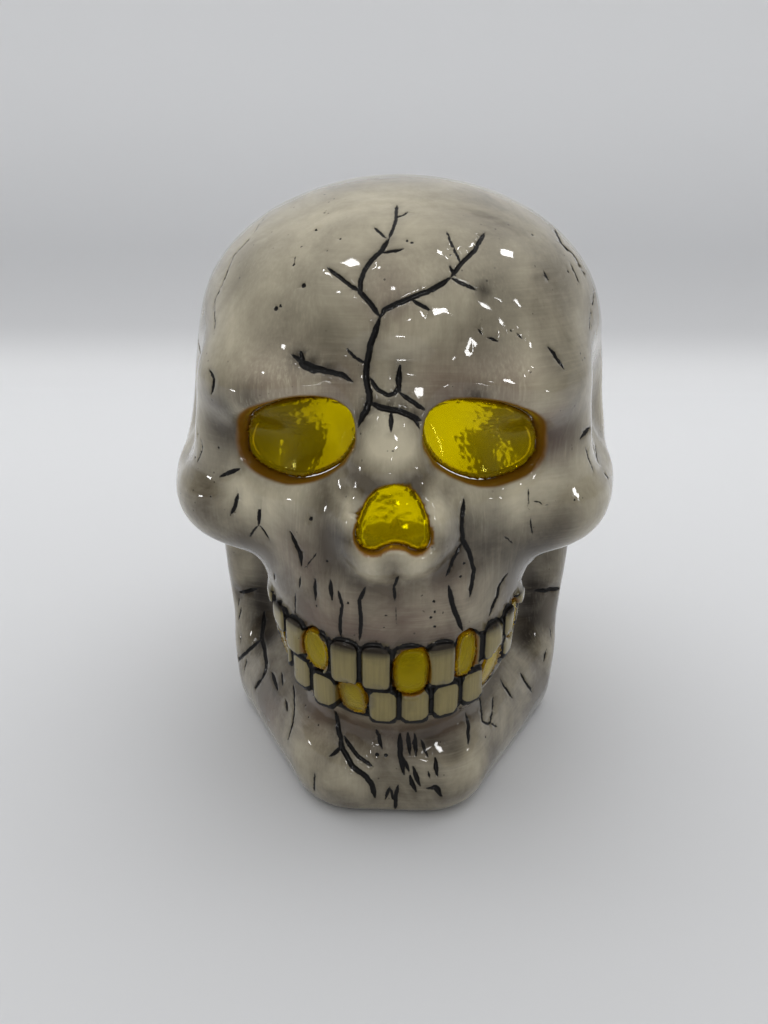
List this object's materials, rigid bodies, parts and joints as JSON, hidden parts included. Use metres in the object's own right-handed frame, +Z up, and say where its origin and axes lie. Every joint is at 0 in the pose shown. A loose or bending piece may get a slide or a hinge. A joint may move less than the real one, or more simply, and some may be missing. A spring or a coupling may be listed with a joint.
{
  "type": "skull candle holder",
  "caption": "Hollow glazed ceramic skull with see-through resin eye, nose and tooth windows, a doorway at the back and a votive candle inside.",
  "frame": {"origin": "on the surface it stands on, under the middle of the bounding box", "axes": "+Z up, the face looks along -Y, +X is the viewer's right when looking at the face"},
  "size_m": [0.1348, 0.1604, 0.1784],
  "materials": {
    "glazed_body": "clear gloss glaze over airbrushed and stained bone colour",
    "resin": "clear yellow cast resin, glossy, lumpy back face",
    "cup_glass": "clear pressed glass",
    "wax": "ivory paraffin wax",
    "tin": "pressed tinplate",
    "cotton": "waxed cotton"
  },
  "bodies": {
    "casting": {"skull_body": "glazed_body", "left_eye_window": "resin", "right_eye_window": "resin", "nose_window": "resin", "lower_left_back_tooth_window": "resin", "upper_left_canine_window": "resin", "lower_left_incisor_window": "resin", "upper_right_incisor_window": "resin", "upper_right_canine_window": "resin", "lower_right_premolar_window": "resin", "upper_right_back_tooth_window": "resin"},
    "candle": {"candle_cup": "cup_glass", "candle_wax": "wax", "wick_tab": "tin", "candle_wick": "cotton"}
  },
  "joints": [
    {"name": "candle_slide", "type": "slide", "parent": "casting", "child": "candle", "axis": [0, 1, 0], "range_m": [0, 0.1]}
  ]
}
